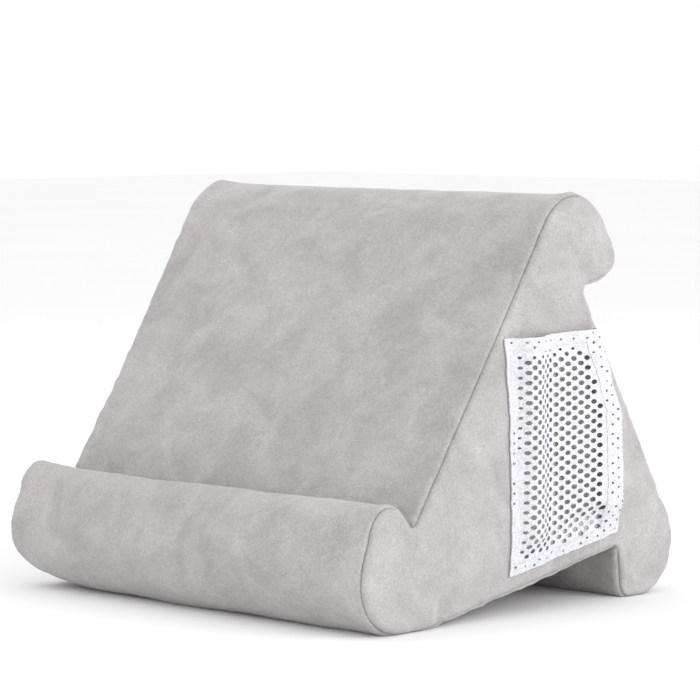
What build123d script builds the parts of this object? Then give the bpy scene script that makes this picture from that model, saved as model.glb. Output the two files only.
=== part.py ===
from build123d import *
from math import atan2, cos, degrees, radians, sin, tan
import os

# A soft tablet stand: a contour-cut foam block in a sewn velvet cover, with a net pocket
# on the right-hand end and a zip under the arch. Millimetres. X runs across the stand,
# Y from front to back and Z up. The origin is on the floor, under the middle of the whole
# object, pocket included.

# Driving dimensions
stand_width = 290.0
pocket_depth = 7.0  # how far the pocket stands off the right-hand end
skin = 1.2  # thickness of the velvet
foam_gap = 0.05  # between the foam and the velvet
end_step = 0.8  # the end panels are this much smaller than the wrap all round

# The stand's side view: three flanks that each end in a rounded lobe, with a notch between
# one lobe and the next flank. Each corner is (y, z) before rounding.
front_notch = (-91.5, 55.5)
top = (42.5, 258.5)
hook_tip = (85.1, 193.5)
hook_notch = (49.0, 184.2)
rear = (154.9, 0.0)
rear_tip = (86.5, 0.0)
under_notch = (83.5, 32.4)
front_foot = (-86.5, 0.0)
front = (-143.9, 0.0)
lip = (-116.1, 84.1)
corners = [
    front_notch, top, hook_tip, hook_notch, rear, rear_tip, under_notch, front_foot, front, lip
]
radii = [4.0, 28.0, 10.5, 6.0, 30.9, 8.0, 5.0, 40.0, 29.9, 13.6]

# The zip, across the underside near its rear end. Heights are measured outwards from the
# velvet's outer surface there, so those inside the cover are negative.
zip_y = 58.0
slot_length = 250.0
slot_width = 11.0
tape_width = 15.3
tape_thickness = 0.6
coil_width = 2.3
coil_thickness = 1.8
coil_split = 0.7  # half of the gap between the two rows of coil
stop_length = 1.6
channel_depth = 4.5  # the foam is relieved behind the zip
channel_margin = 2.0

slider_length = 11.5
slider_width = 9.0
slider_plate = 1.2
slider_clearance = 0.35  # between the slider and the chain that it runs on
slider_post = 0.8
bridge_width = 1.6
bridge_bar = 1.0
bridge_span = 5.2  # inside the bridge, along the zip
bridge_leg = 1.2
bridge_rise = 2.15  # inside the bridge, above the slider's plate

pull_pin_radius = 0.65
pull_arm = 1.0
pull_gap = 0.4  # between the pull's arms and the bridge
pull_ring = 4.9  # from the pin to the tab
pull_length = 20.0
pull_tab_width = 7.0

# The pocket's outline on the right-hand end, (y, z), from its lower front corner round
# to its upper front corner. The top edge is its mouth.
pocket_corners = [(-15.0, 23.0), (78.0, 40.5), (79.0, 110.0), (56.5, 160.5), (-20.0, 158.0)]
hem_width = 8.0
net = 1.0
mouth_extension = 30.0
elastic_width = 6.0
elastic_thickness = 0.8

thread = 0.5
thread_height = 0.3
notch_thread_radius = 0.3
zip_stitch_offset = 8.0
pocket_stitch_offset = 2.6

label_length = 45.0
label_width = 24.0
label_thickness = 0.4
label_place = (-62.0, 28.0)  # along the zip and towards the front, from the zip's middle

# Places that follow from them
left_x = -(stand_width + pocket_depth) / 2
right_x = left_x + stand_width
middle_x = (left_x + right_x) / 2
wrap_width = stand_width - 2 * skin
far = 400.0
cut_reach = 20.0

underside_angle = degrees(
    atan2(under_notch[1] - front_foot[1], under_notch[0] - front_foot[0])
)
zip_z = (zip_y - front_foot[0]) * tan(radians(underside_angle))
zip_out = Vector(0, sin(radians(underside_angle)), -cos(radians(underside_angle)))
zip_back = Vector(0, cos(radians(underside_angle)), sin(radians(underside_angle)))
zip_middle = Vector(middle_x, zip_y, zip_z)
zip_plane = Plane(origin=zip_middle, x_dir=(1, 0, 0), z_dir=zip_out)

tape_top = -skin
tape_bottom = tape_top - tape_thickness
coil_top = tape_top + coil_thickness
coil_length = slot_length - 2 * stop_length - 1.0
slider_start = -(slot_length / 2 - stop_length - slider_length / 2 - 1.0)
slider_low = coil_top + slider_clearance
slider_high = slider_low + slider_plate
pin_height = slider_high + bridge_rise / 2


def notch_floor(before, corner, after, radius):
    """The lowest point of a rounded notch, and the direction that leads out of it."""
    to_before = (Vector(*before) - Vector(*corner)).normalized()
    to_after = (Vector(*after) - Vector(*corner)).normalized()
    half_angle = radians(to_before.get_angle(to_after) / 2)
    outwards = (to_before + to_after).normalized()
    return Vector(*corner) + outwards * (radius / sin(half_angle) - radius), outwards


front_floor, front_out = notch_floor(lip, front_notch, top, radii[0])
hook_floor, hook_out = notch_floor(hook_tip, hook_notch, rear, radii[3])
under_floor, under_out = notch_floor(rear_tip, under_notch, front_foot, radii[6])

# Where the wrap is cut into panels: a pair of points inside and outside each cut
front_cut = (front_floor - front_out * cut_reach, front_floor + front_out * cut_reach)
hook_cut = (hook_floor - hook_out * cut_reach, hook_floor + hook_out * cut_reach)
under_cut = (under_floor - under_out * cut_reach, under_floor + under_out * cut_reach)
zip_side_out = Vector(zip_out.Y, zip_out.Z)
zip_side_place = Vector(zip_y, zip_z)
zip_cut = (
    zip_side_place - zip_side_out * cut_reach / 2,
    zip_side_place + zip_side_out * cut_reach / 2,
)

# Side views, drawn with x for the stand's Y and y for its Z
with BuildSketch() as outer_outline:
    Polygon(*corners, align=None)
    for corner, radius in zip(corners, radii):
        fillet(outer_outline.vertices().sort_by_distance((*corner, 0)).first, radius)

with BuildSketch() as foam_outline:
    add(outer_outline.sketch)
    offset(amount=-(skin + foam_gap))

with BuildSketch() as skin_band:
    add(outer_outline.sketch)
    offset(amount=-skin, mode=Mode.SUBTRACT)

with BuildSketch() as end_outline:
    add(outer_outline.sketch)
    offset(amount=-end_step)

with BuildSketch() as thread_band:
    add(outer_outline.sketch)
    offset(amount=thread - end_step)
    add(end_outline.sketch, mode=Mode.SUBTRACT)

with BuildSketch() as pocket_outline:
    Polygon(*pocket_corners, align=None)

# The same outline drawn taller, for what stops at the mouth
pocket_rear_edge = (Vector(*pocket_corners[3]) - Vector(*pocket_corners[2])).normalized()
pocket_front_edge = (Vector(*pocket_corners[4]) - Vector(*pocket_corners[0])).normalized()
tall_rear = Vector(*pocket_corners[3]) + pocket_rear_edge * mouth_extension
tall_front = Vector(*pocket_corners[4]) + pocket_front_edge * mouth_extension
with BuildSketch() as tall_pocket_outline:
    Polygon(*pocket_corners[:3], tall_rear, tall_front, align=None)


def along_mouth(drop):
    """The two ends of a line that runs below the mouth of the pocket, past both sides."""
    along = (Vector(*pocket_corners[3]) - Vector(*pocket_corners[4])).normalized()
    down = Vector(along.Y, -along.X)
    front_end = Vector(*pocket_corners[4]) + down * drop - along * mouth_extension
    rear_end = Vector(*pocket_corners[3]) + down * drop + along * mouth_extension
    return front_end, rear_end


with BuildSketch() as above_mouth:
    Polygon(*along_mouth(0), (far, far), (-far, far), align=None)

with BuildSketch() as mouth_band:
    Polygon(
        *along_mouth(1.0), *reversed(along_mouth(1.0 + elastic_width)), align=None
    )


# Cover: three panels wrap the block from notch to notch, the last one split by the zip
def wrap_panel(region):
    """A stretch of the wrap, inside a region of the side view, with its part of the zip slot."""
    with BuildPart() as panel:
        with BuildSketch(Plane.YZ.offset(left_x + skin)):
            add(skin_band.sketch)
            with BuildLine():
                Polyline(*region, close=True)
            make_face(mode=Mode.INTERSECT)
        extrude(amount=wrap_width)
        with BuildSketch(zip_plane.offset(-2 * skin)):
            Rectangle(slot_length, slot_width)
        extrude(amount=3 * skin, mode=Mode.SUBTRACT)
    return panel


face_region = [
    front_cut[1], front_cut[0], hook_cut[0], hook_cut[1],
    (far, hook_cut[1].Y), (far, far), (front_cut[1].X, far),
]
back_region = [
    hook_cut[1], hook_cut[0], under_cut[0], under_cut[1],
    (under_cut[1].X, -far), (far, -far), (far, hook_cut[1].Y),
]
front_region = [
    zip_cut[1], zip_cut[0], front_cut[0], front_cut[1],
    (front_cut[1].X, far), (-far, far), (-far, -far), (zip_cut[1].X, -far),
]
zip_strip_region = [zip_cut[0], zip_cut[1], under_cut[1], under_cut[0]]

cover_face_panel = wrap_panel(face_region)
cover_back_panel = wrap_panel(back_region)
cover_front_panel = wrap_panel(front_region)
cover_zip_strip = wrap_panel(zip_strip_region)

with BuildPart() as cover_side_left:
    with BuildSketch(Plane.YZ.offset(left_x)):
        add(end_outline.sketch)
    extrude(amount=skin)

with BuildPart() as cover_side_right:
    with BuildSketch(Plane.YZ.offset(right_x - skin)):
        add(end_outline.sketch)
    extrude(amount=skin)

with BuildPart() as side_seam_thread_left:
    with BuildSketch(Plane.YZ.offset(left_x + skin - thread)):
        add(thread_band.sketch)
    extrude(amount=thread)

with BuildPart() as side_seam_thread_right:
    with BuildSketch(Plane.YZ.offset(right_x - skin)):
        add(thread_band.sketch)
    extrude(amount=thread)

with BuildPart() as notch_seam_thread:
    for floor, outwards in [(front_floor, front_out), (hook_floor, hook_out), (under_floor, under_out)]:
        with BuildSketch(Plane.YZ.offset(left_x + skin)):
            with Locations(floor + outwards * (notch_thread_radius + foam_gap)):
                Circle(notch_thread_radius)
        extrude(amount=wrap_width)

# Filling
with BuildPart() as foam_core:
    with BuildSketch(Plane.YZ.offset(left_x + skin + foam_gap)):
        add(foam_outline.sketch)
    extrude(amount=wrap_width - 2 * foam_gap)
    with BuildSketch(zip_plane.offset(-channel_depth)):
        Rectangle(
            slot_length + 2 * channel_margin,
            2 * (tape_width + coil_split + channel_margin),
        )
    extrude(amount=channel_depth, mode=Mode.SUBTRACT)

# Pocket: a net pouch with a flat hem sewn down on three sides
end_plane = Plane.YZ.offset(right_x)

with BuildPart() as mesh_pocket:
    with BuildSketch(end_plane):
        add(pocket_outline.sketch)
    extrude(amount=net)
    with BuildSketch(end_plane):
        add(tall_pocket_outline.sketch)
        offset(amount=-hem_width)
    extrude(amount=pocket_depth, taper=45)
    with BuildSketch(end_plane):
        add(tall_pocket_outline.sketch)
        offset(amount=-(hem_width + net / cos(radians(45))))
    extrude(amount=pocket_depth - net, taper=45, mode=Mode.SUBTRACT)
    with BuildSketch(end_plane):
        add(above_mouth.sketch)
    extrude(amount=pocket_depth, mode=Mode.SUBTRACT)

with BuildPart() as pocket_mouth_elastic:
    with BuildSketch(end_plane.offset(pocket_depth - net - elastic_thickness)):
        add(tall_pocket_outline.sketch)
        offset(amount=-(hem_width + pocket_depth + 2 * net))
        add(mouth_band.sketch, mode=Mode.INTERSECT)
    extrude(amount=elastic_thickness)

with BuildPart() as pocket_thread:
    with BuildSketch(end_plane.offset(net)):
        add(tall_pocket_outline.sketch)
        offset(amount=-pocket_stitch_offset)
        offset(amount=-thread, mode=Mode.SUBTRACT)
        add(above_mouth.sketch, mode=Mode.SUBTRACT)
    extrude(amount=thread_height)


# Zip: two tapes, each with a row of coil, end stops, and the thread that sews it in
def zip_bar(side, near, width, low, height, length=slot_length):
    """A bar along the zip, on the front (1) or rear (-1) side of its middle."""
    with BuildPart() as bar:
        with BuildSketch(zip_plane.offset(low)):
            with Locations((0, side * (near + width / 2))):
                Rectangle(length, width)
        extrude(amount=height)
    return bar


zip_tape_front = zip_bar(1, coil_split, tape_width, tape_bottom, tape_thickness)
zip_tape_rear = zip_bar(-1, coil_split, tape_width, tape_bottom, tape_thickness)
zip_coil_front = zip_bar(1, coil_split, coil_width, tape_top, coil_thickness, coil_length)
zip_coil_rear = zip_bar(-1, coil_split, coil_width, tape_top, coil_thickness, coil_length)

stop_place = (slot_length - stop_length) / 2

with BuildPart() as zip_top_stops:
    with BuildSketch(zip_plane.offset(tape_top)):
        for side in (1, -1):
            with Locations((-stop_place, side * (coil_split + coil_width / 2))):
                Rectangle(stop_length, coil_width)
    extrude(amount=coil_thickness)

with BuildPart() as zip_bottom_stop:
    with BuildSketch(zip_plane.offset(tape_top)):
        with Locations((stop_place, 0)):
            Rectangle(stop_length, 2 * (coil_split + coil_width))
    extrude(amount=coil_thickness)

with BuildPart() as zip_thread:
    for side in (1, -1):
        with BuildSketch(zip_plane):
            with Locations((0, side * zip_stitch_offset)):
                Rectangle(slot_length, thread)
        extrude(amount=thread_height)

# Slider: two plates joined by a post, side flanges, and a bridge that holds the pull
slider_place = zip_middle + Vector(slider_start, 0, 0)
slider_plane = Plane(origin=slider_place, x_dir=(1, 0, 0), z_dir=zip_out)
slider_side_plane = Plane(origin=slider_place, x_dir=(1, 0, 0), z_dir=zip_back)
flange_width = slider_width / 2 - (coil_split + coil_width + slider_clearance)
flange_low = tape_top + slider_clearance
slider_back_high = tape_bottom - slider_clearance

with BuildPart() as zip_slider:
    with BuildSketch(slider_plane.offset(slider_low)):
        RectangleRounded(slider_length, slider_width, 1.5)
    extrude(amount=slider_plate)
    with BuildSketch(slider_plane.offset(flange_low)):
        for side in (1, -1):
            with Locations((0, side * (slider_width - flange_width) / 2)):
                Rectangle(slider_length - 3, flange_width)
    extrude(amount=slider_low - flange_low)
    with BuildSketch(slider_plane.offset(slider_back_high - slider_plate)):
        RectangleRounded(slider_length, slider_width, 1.5)
    extrude(amount=slider_plate)
    with BuildSketch(slider_plane.offset(slider_back_high)):
        with Locations((-slider_length / 2 + 2.0, 0)):
            Rectangle(2.5, slider_post)
    extrude(amount=slider_low - slider_back_high)
    with BuildSketch(slider_side_plane):
        with BuildLine():
            half_span = bridge_span / 2
            Polyline(
                (-half_span - bridge_leg, slider_high),
                (-half_span - bridge_leg, slider_high + bridge_rise),
                (-half_span, slider_high + bridge_rise + bridge_bar),
                (half_span, slider_high + bridge_rise + bridge_bar),
                (half_span + bridge_leg, slider_high + bridge_rise),
                (half_span + bridge_leg, slider_high),
                (half_span, slider_high),
                (half_span, slider_high + bridge_rise),
                (-half_span, slider_high + bridge_rise),
                (-half_span, slider_high),
                close=True,
            )
        make_face()
    extrude(amount=bridge_width / 2, both=True)

# Pull: a pin through the bridge, two arms and a flat tab that hangs from them
pull_plane = Plane(
    origin=slider_place + zip_out * pin_height, x_dir=zip_back, z_dir=(-1, 0, 0)
)
arm_inside = bridge_width / 2 + pull_gap
arm_outside = arm_inside + pull_arm

with BuildPart() as zip_pull:
    with BuildSketch(pull_plane):
        for side in (1, -1):
            with Locations((side * (arm_inside + pull_arm / 2), pull_ring / 2)):
                Rectangle(pull_arm, pull_ring + 0.2)
        with BuildLine():
            Polyline(
                (-arm_outside, pull_ring),
                (-pull_tab_width / 2, (pull_ring + 3)),
                (-pull_tab_width / 2, pull_length),
                (pull_tab_width / 2, pull_length),
                (pull_tab_width / 2, (pull_ring + 3)),
                (arm_outside, pull_ring),
                close=True,
            )
        make_face()
        with Locations((0, (pull_length - 4.0))):
            Circle(1.8, mode=Mode.SUBTRACT)
    extrude(amount=pull_pin_radius, both=True)
    with BuildSketch(Plane(origin=pull_plane.origin, x_dir=(1, 0, 0), z_dir=zip_back)):
        Circle(pull_pin_radius)
    extrude(amount=arm_outside, both=True)

with BuildPart() as care_label:
    with BuildSketch(zip_plane):
        with Locations(label_place):
            Rectangle(label_length, label_width)
    extrude(amount=label_thickness)

pieces = {
    "cover_face_panel": cover_face_panel,
    "cover_back_panel": cover_back_panel,
    "cover_front_panel": cover_front_panel,
    "cover_zip_strip": cover_zip_strip,
    "cover_side_left": cover_side_left,
    "cover_side_right": cover_side_right,
    "side_seam_thread_left": side_seam_thread_left,
    "side_seam_thread_right": side_seam_thread_right,
    "notch_seam_thread": notch_seam_thread,
    "foam_core": foam_core,
    "mesh_pocket": mesh_pocket,
    "pocket_mouth_elastic": pocket_mouth_elastic,
    "pocket_thread": pocket_thread,
    "zip_tape_front": zip_tape_front,
    "zip_tape_rear": zip_tape_rear,
    "zip_coil_front": zip_coil_front,
    "zip_coil_rear": zip_coil_rear,
    "zip_top_stops": zip_top_stops,
    "zip_bottom_stop": zip_bottom_stop,
    "zip_thread": zip_thread,
    "zip_slider": zip_slider,
    "zip_pull": zip_pull,
    "care_label": care_label,
}

os.makedirs("parts", exist_ok=True)
for name, piece in pieces.items():
    piece.part.label = name
    export_step(piece.part, f"parts/{name}.step")
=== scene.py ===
import math
import bmesh
import bpy
import numpy as np
from mathutils import Matrix, Vector, noise
from mathutils.bvhtree import BVHTree
from mathutils.geometry import convex_hull_2d, delaunay_2d_cdt
from mathutils.kdtree import KDTree


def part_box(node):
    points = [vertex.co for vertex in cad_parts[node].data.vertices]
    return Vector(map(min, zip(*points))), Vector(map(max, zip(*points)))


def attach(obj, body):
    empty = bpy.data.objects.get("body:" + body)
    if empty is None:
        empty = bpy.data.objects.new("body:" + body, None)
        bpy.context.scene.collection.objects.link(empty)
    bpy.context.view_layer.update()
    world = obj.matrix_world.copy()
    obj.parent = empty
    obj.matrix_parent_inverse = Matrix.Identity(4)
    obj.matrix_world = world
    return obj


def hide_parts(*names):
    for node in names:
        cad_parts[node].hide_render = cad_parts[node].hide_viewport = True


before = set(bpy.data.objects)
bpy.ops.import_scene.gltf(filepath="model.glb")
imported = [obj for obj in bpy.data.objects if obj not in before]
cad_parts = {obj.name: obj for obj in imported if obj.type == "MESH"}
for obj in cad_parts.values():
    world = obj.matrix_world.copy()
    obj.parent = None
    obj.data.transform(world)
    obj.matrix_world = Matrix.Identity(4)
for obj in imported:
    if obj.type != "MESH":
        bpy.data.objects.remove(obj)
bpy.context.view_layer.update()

MM = 0.001
STAND = "stand"

# The stand, read from the frame
end_low, end_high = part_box("cover_side_right")
left_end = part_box("cover_side_left")[0].x
right_end = end_high.x
middle_x = (left_end + right_end) / 2
half_width = (right_end - left_end) / 2
end_step = end_low.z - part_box("cover_front_panel")[0].z

# How the cover is cut and sewn
cloth_thickness = 1.0 * MM
seam_inset = 0.8 * MM  # a sewn corner is drawn in by this much
fullness = 1.3 * MM  # the filled cover stands this far outside its cut shape
corner_round = 8.0 * MM
row_pitch = 3.8 * MM
column_pitch = 5.0 * MM
close_rows = (0.0, 1.4 * MM, 3.2 * MM, 5.4 * MM)
slot_half_width = 5.5 * MM
slot_half_length = 125.0 * MM
half_seam = half_width - seam_inset
stitch_pitch = 3.0 * MM
seam_step = 0.7 * MM  # between the points that a seam is measured by

# How it is filled
plump_limit = 4.0 * MM
sink_limit = 0.25 * MM
slide_limit = 1.0 * MM
filling_moments = 20
filling_cloth = {
    "quality": 6,
    "mass": 0.2,
    "tension_stiffness": 18,
    "compression_stiffness": 18,
    "shear_stiffness": 6,
    "bending_stiffness": 0.6,
    "shrink_min": -0.012,
    "use_pressure": True,
    "uniform_pressure_force": 4,
    "vertex_group_mass": "sewn",
}

# The foam inside it
foam_clearance = 2.0 * MM
zip_relief = 4.6 * MM
zip_relief_reach = 17 * MM
zip_relief_edge = 4 * MM


# ---- small tools


def deselect_all():
    for chosen in list(bpy.context.selected_objects):
        chosen.select_set(False)


def only(piece):
    """Makes one piece the selected and active one."""
    if bpy.context.object and bpy.context.object.mode != "OBJECT":
        bpy.ops.object.mode_set(mode="OBJECT")
    deselect_all()
    piece.select_set(True)
    bpy.context.view_layer.objects.active = piece


def piece_of(name, mesh):
    piece = bpy.data.objects.new(name, mesh)
    bpy.context.scene.collection.objects.link(piece)
    return piece


def piece_from(name, points, faces):
    mesh = bpy.data.meshes.new(name)
    mesh.from_pydata([tuple(p) for p in points], [], [tuple(int(i) for i in f) for f in faces])
    mesh.update()
    return piece_of(name, mesh)


def points_of(piece, kind="co"):
    flat = np.zeros(len(piece.data.vertices) * 3)
    piece.data.vertices.foreach_get(kind, flat)
    return flat.reshape(-1, 3)


def normals_of(piece):
    return points_of(piece, "normal")


def faces_of(piece):
    return [tuple(face.vertices) for face in piece.data.polygons]


def put_points(piece, points):
    piece.data.vertices.foreach_set("co", np.asarray(points, dtype=np.float32).ravel())
    piece.data.update()


def above_floor(points, height=0.0):
    points[:, 2] = np.maximum(points[:, 2], height)
    return points


def outwards(piece):
    """Turns every face of a closed piece outwards."""
    work = bmesh.new()
    work.from_mesh(piece.data)
    bmesh.ops.recalc_face_normals(work, faces=work.faces)
    work.to_mesh(piece.data)
    work.free()
    piece.data.update()


def finish_with(piece, kind, **settings):
    """Adds a modifier and applies it."""
    only(piece)
    modifier = piece.modifiers.new(kind.lower(), kind)
    for key, value in settings.items():
        setattr(modifier, key, value)
    bpy.ops.object.modifier_apply(modifier=modifier.name)


def thicken(piece, thickness):
    """Gives a sheet its thickness, half on each side."""
    finish_with(piece, "SOLIDIFY", thickness=thickness, offset=0.0)


def flat_sheet(name, along, across):
    """A flat sheet one unit square, with this many divisions, and its points."""
    deselect_all()
    bpy.ops.mesh.primitive_grid_add(x_subdivisions=along, y_subdivisions=across, size=1)
    sheet = bpy.context.object
    sheet.name = name
    return sheet, points_of(sheet)


def dress(piece, body, slot, material, *nodes, crease=60):
    """Gives a finished piece its material, body and shading, and hides the CAD parts it stands for.
    Its slot is not used.
    """
    piece.data.materials.clear()
    piece.data.materials.append(material)
    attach(piece, body)
    if nodes:
        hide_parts(*nodes)
    only(piece)
    bpy.ops.object.shade_smooth_by_angle(angle=math.radians(crease))


def soft_noise(point, size):
    """Smooth noise from -1 to 1 whose lumps are about this size."""
    return noise.noise(Vector(point) / size)


def noise_over(points, size, shift=(0, 0, 0)):
    """Soft noise at many points, read a fixed shift away from each."""
    return np.array([soft_noise(Vector(p) + Vector(shift), size) for p in points])


def step(value, low, high):
    """A smooth step from 0 at low to 1 at high."""
    share = np.clip((value - low) / (high - low), 0, 1)
    return share * share * (3 - 2 * share)


def bell(distance, width):
    return np.exp(-((distance / width) ** 2))


def unit(vectors):
    return vectors / np.linalg.norm(vectors, axis=-1, keepdims=True)


def left_of(ahead):
    """Flat directions turned a quarter turn to the left."""
    return np.stack([-ahead[..., 1], ahead[..., 0]], axis=-1)


def turn_of(first, second):
    """The cross product of flat vectors."""
    return first[..., 0] * second[..., 1] - first[..., 1] * second[..., 0]


def measured(line):
    """How far along a line each of its points is."""
    return np.concatenate([[0], np.cumsum(np.linalg.norm(np.diff(line, axis=0), axis=1))])


def on_line(line, at, wanted):
    """Places at the wanted distances along a line, whose points are at known distances."""
    return np.stack([np.interp(wanted, at, column) for column in np.transpose(line)], axis=-1)


def within(points, ring):
    """Which flat points lie inside a closed ring."""
    after = np.roll(ring, -1, axis=0)
    rising = (ring[:, 1] > points[:, None, 1]) != (after[:, 1] > points[:, None, 1])
    rise = np.where(abs(after[:, 1] - ring[:, 1]) < 1e-9, 1e-9, after[:, 1] - ring[:, 1])
    crossing = ring[:, 0] + (points[:, None, 1] - ring[:, 1]) / rise * (after[:, 0] - ring[:, 0])
    return (rising & (points[:, None, 0] < crossing)).sum(1) % 2 == 1


def gap_to(points, ring):
    """How far flat points are from the nearest point of a ring."""
    return np.linalg.norm(points[:, None] - ring[None], axis=2).min(1)


# ---- outline of the stand


def end_outline(node):
    """The outline of a CAD end panel as (y, z) points, in order up the face and down the back."""
    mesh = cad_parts[node].data
    face_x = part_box(node)[1].x
    place = [(round(v.co.y, 6), round(v.co.z, 6)) for v in mesh.vertices]
    on_face = [abs(v.co.x - face_x) < 1e-6 for v in mesh.vertices]
    sides = set()
    for polygon in mesh.polygons:
        if all(on_face[i] for i in polygon.vertices):
            ring = [place[i] for i in polygon.vertices]
            sides.update(zip(ring, ring[1:] + ring[:1]))
    after = {b: a for a, b in sides if (b, a) not in sides}
    start = min(after)
    outline = [start]
    while after[outline[-1]] != start:
        outline.append(after[outline[-1]])
    return np.array(outline)


def grown(outline, amount):
    """A closed outline moved outwards, or inwards where the amount is negative."""
    ahead = unit(np.roll(outline, -1, axis=0) - outline)
    out = left_of(unit(ahead + np.roll(ahead, 1, axis=0)))
    return outline + out * (amount / (out * left_of(ahead)).sum(1))[:, None]


class Walk:
    """A closed outline that is walked by distance."""

    def __init__(self, outline):
        self.closed = np.vstack([outline, outline[:1]])
        self.at = measured(self.closed)
        self.length = self.at[-1]

    def point(self, distance):
        return on_line(self.closed, self.at, np.asarray(distance) % self.length)

    def nearest(self, place):
        tries = np.arange(0, self.length, 0.2 * MM)
        return tries[np.linalg.norm(self.point(tries) - np.array(place), axis=1).argmin()]

    def out(self, distance, reach=0.4 * MM):
        """The outward direction (y, z) at a distance."""
        distance = np.asarray(distance)
        return left_of(unit(self.point(distance + reach) - self.point(distance - reach)))


def notch_places():
    """Where the three cross seams lie, (y, z)."""
    points = points_of(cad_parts["notch_seam_thread"])[:, 1:]
    order = points[points[:, 0].argsort()]
    gaps = np.diff(order[:, 0]).argsort()[-2:]
    return [group.mean(0) for group in np.split(order, sorted(gaps + 1))]


def rows_between(start, stop, pitch=row_pitch, near_start=close_rows, near_stop=close_rows):
    """Distances from start up to stop, closer together beside a seam. The stop is left out."""
    first = [start + d for d in near_start]
    last = [stop - d for d in reversed(near_stop)]
    count = max(1, round((last[0] - first[-1]) / pitch))
    middle = np.linspace(first[-1], last[0], count + 1)[1:-1]
    return [*first, *middle, *last[:-1]]


walk = Walk(grown(end_outline("cover_side_right"), end_step + fullness))
front_notch, under_notch, hook_notch = sorted(
    notch_places(), key=lambda place: (place[0] > 0, place[1])
)
front_row = walk.nearest(front_notch)
hook_row = walk.nearest(hook_notch)
under_row = walk.nearest(under_notch)
coil_boxes = [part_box(node) for node in ("zip_coil_front", "zip_coil_rear")]
zip_row = walk.nearest(sum((corner.yz for box in coil_boxes for corner in box), Vector((0, 0))) / 4)
slot_front, slot_rear = zip_row + slot_half_width, zip_row - slot_half_width


# ---- the padded cover

cut_count = 7
FACE, BACK, FRONT, STRIP, LEFT, RIGHT, GAP = range(cut_count)

# Each cross seam: its row, the depth of its groove, how far its puckers reach along the cloth,
# and the height of the folds that fan out from its ends
cross_seams = (
    (front_row, 1.0 * MM, 15 * MM, 1.5 * MM),
    (under_row, 1.0 * MM, 15 * MM, 1.5 * MM),
    (hook_row, 0.8 * MM, 8 * MM, 0.8 * MM),
)
face_out = np.array([0, -0.83, 0.55])


def drawn_in(distance):
    """How far the cloth is drawn in at a distance from a sewn corner."""
    return seam_inset * np.clip(1 - distance / corner_round, 0, None) ** 2


def cover_rows():
    """Distances round the outline, and the panel that starts at each."""
    parts = [
        (FACE, rows_between(front_row, hook_row)),
        (BACK, rows_between(hook_row, under_row)),
        (STRIP, rows_between(under_row, slot_rear)),
        (STRIP, [slot_rear, zip_row - slot_half_width / 2]),
        (FRONT, [zip_row, zip_row + slot_half_width / 2]),
        (FRONT, rows_between(slot_front, front_row + walk.length)),
    ]
    rows = [distance for _, part in parts for distance in part]
    panels = [panel for panel, part in parts for _ in part]
    return np.array(rows), panels


def cover_columns():
    """Places across the stand from its middle, closer together beside the side seams."""
    edge = rows_between(slot_half_length, half_seam, column_pitch, near_start=(0.0,)) + [half_seam]
    inside = rows_between(-slot_half_length, slot_half_length, column_pitch, (0.0,), (0.0,))
    return np.array([-x for x in reversed(edge)][:-1] + inside + edge)


def end_filling(ring, pitch):
    """Flat points and triangles inside a ring of (y, z) points. The ring's own come first."""
    row_height, least_gap = 0.866 * pitch, 0.62 * pitch
    low, high = ring.min(0), ring.max(0)
    lattice = []
    for k, z in enumerate(np.arange(low[1], high[1], row_height)):
        lattice += [(y, z) for y in np.arange(low[0] + (k % 2) * pitch / 2, high[0], pitch)]
    lattice = np.array(lattice)
    kept = lattice[within(lattice, ring) & (gap_to(lattice, ring) > least_gap)]
    corners = [Vector(p) for p in np.vstack([ring, kept])]
    edges = [(i, (i + 1) % len(ring)) for i in range(len(ring))]
    _, _, faces, origins, _, _ = delaunay_2d_cdt(corners, edges, [], 1, 1e-7)
    return kept, [[origins[i][0] for i in face] for face in faces]


def cover_form():
    """The whole cover as one closed form, before it is filled."""
    rows, panels = cover_rows()
    columns = cover_columns()
    row_count, column_count = len(rows), len(columns)
    base, out = walk.point(rows), walk.out(rows)
    points, faces, kinds = [], [], []
    for x in columns:
        place = base - out * drawn_in(half_seam - abs(x))
        points += [(middle_x + x, y, z) for y, z in place]
    for j in range(column_count - 1):
        over_slot = abs(columns[j] + columns[j + 1]) / 2 < slot_half_length
        for i in range(row_count):
            k = (i + 1) % row_count
            a, b = j * row_count, (j + 1) * row_count
            faces.append((a + i, a + k, b + k, b + i))
            in_slot = abs(rows[i] + 0.1 * MM - zip_row) < slot_half_width
            kinds.append(GAP if over_slot and in_slot else panels[i])
    for side, kind, seam in ((-1, LEFT, 0), (1, RIGHT, (column_count - 1) * row_count)):
        previous = seam
        for ring_inset in close_rows[1:]:
            place = base - out * (seam_inset + ring_inset)
            x = middle_x + side * (half_width - drawn_in(ring_inset))
            start = len(points)
            points += [(x, y, z) for y, z in place]
            for i in range(row_count):
                k = (i + 1) % row_count
                faces.append((previous + i, previous + k, start + k, start + i))
                kinds.append(kind)
            previous = start
        x = middle_x + side * half_width
        kept, triangles = end_filling(place, column_pitch)
        points += [(x, y, z) for y, z in kept]
        faces += [tuple(previous + i for i in triangle) for triangle in triangles]
        kinds += [kind] * len(triangles)
    cover = piece_from("cover", points, faces)
    cover.data.polygons.foreach_set("material_index", kinds)
    for number in range(cut_count):
        cover.data.materials.append(bpy.data.materials.new("cut_%d" % number))
    outwards(cover)
    return cover, rows, columns


def sewn_points(rows, columns):
    """The cover's points that a seam or the zip holds."""
    held = [front_row, hook_row, under_row, slot_rear, zip_row, slot_front]
    held_rows = [i for i, row in enumerate(rows) if min(abs(row - h) for h in held) < 0.1 * MM]
    sewn = {j * len(rows) + i for j in (0, len(columns) - 1) for i in range(len(rows))}
    sewn.update(j * len(rows) + i for j in range(len(columns)) for i in held_rows)
    return sorted(sewn)


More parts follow.
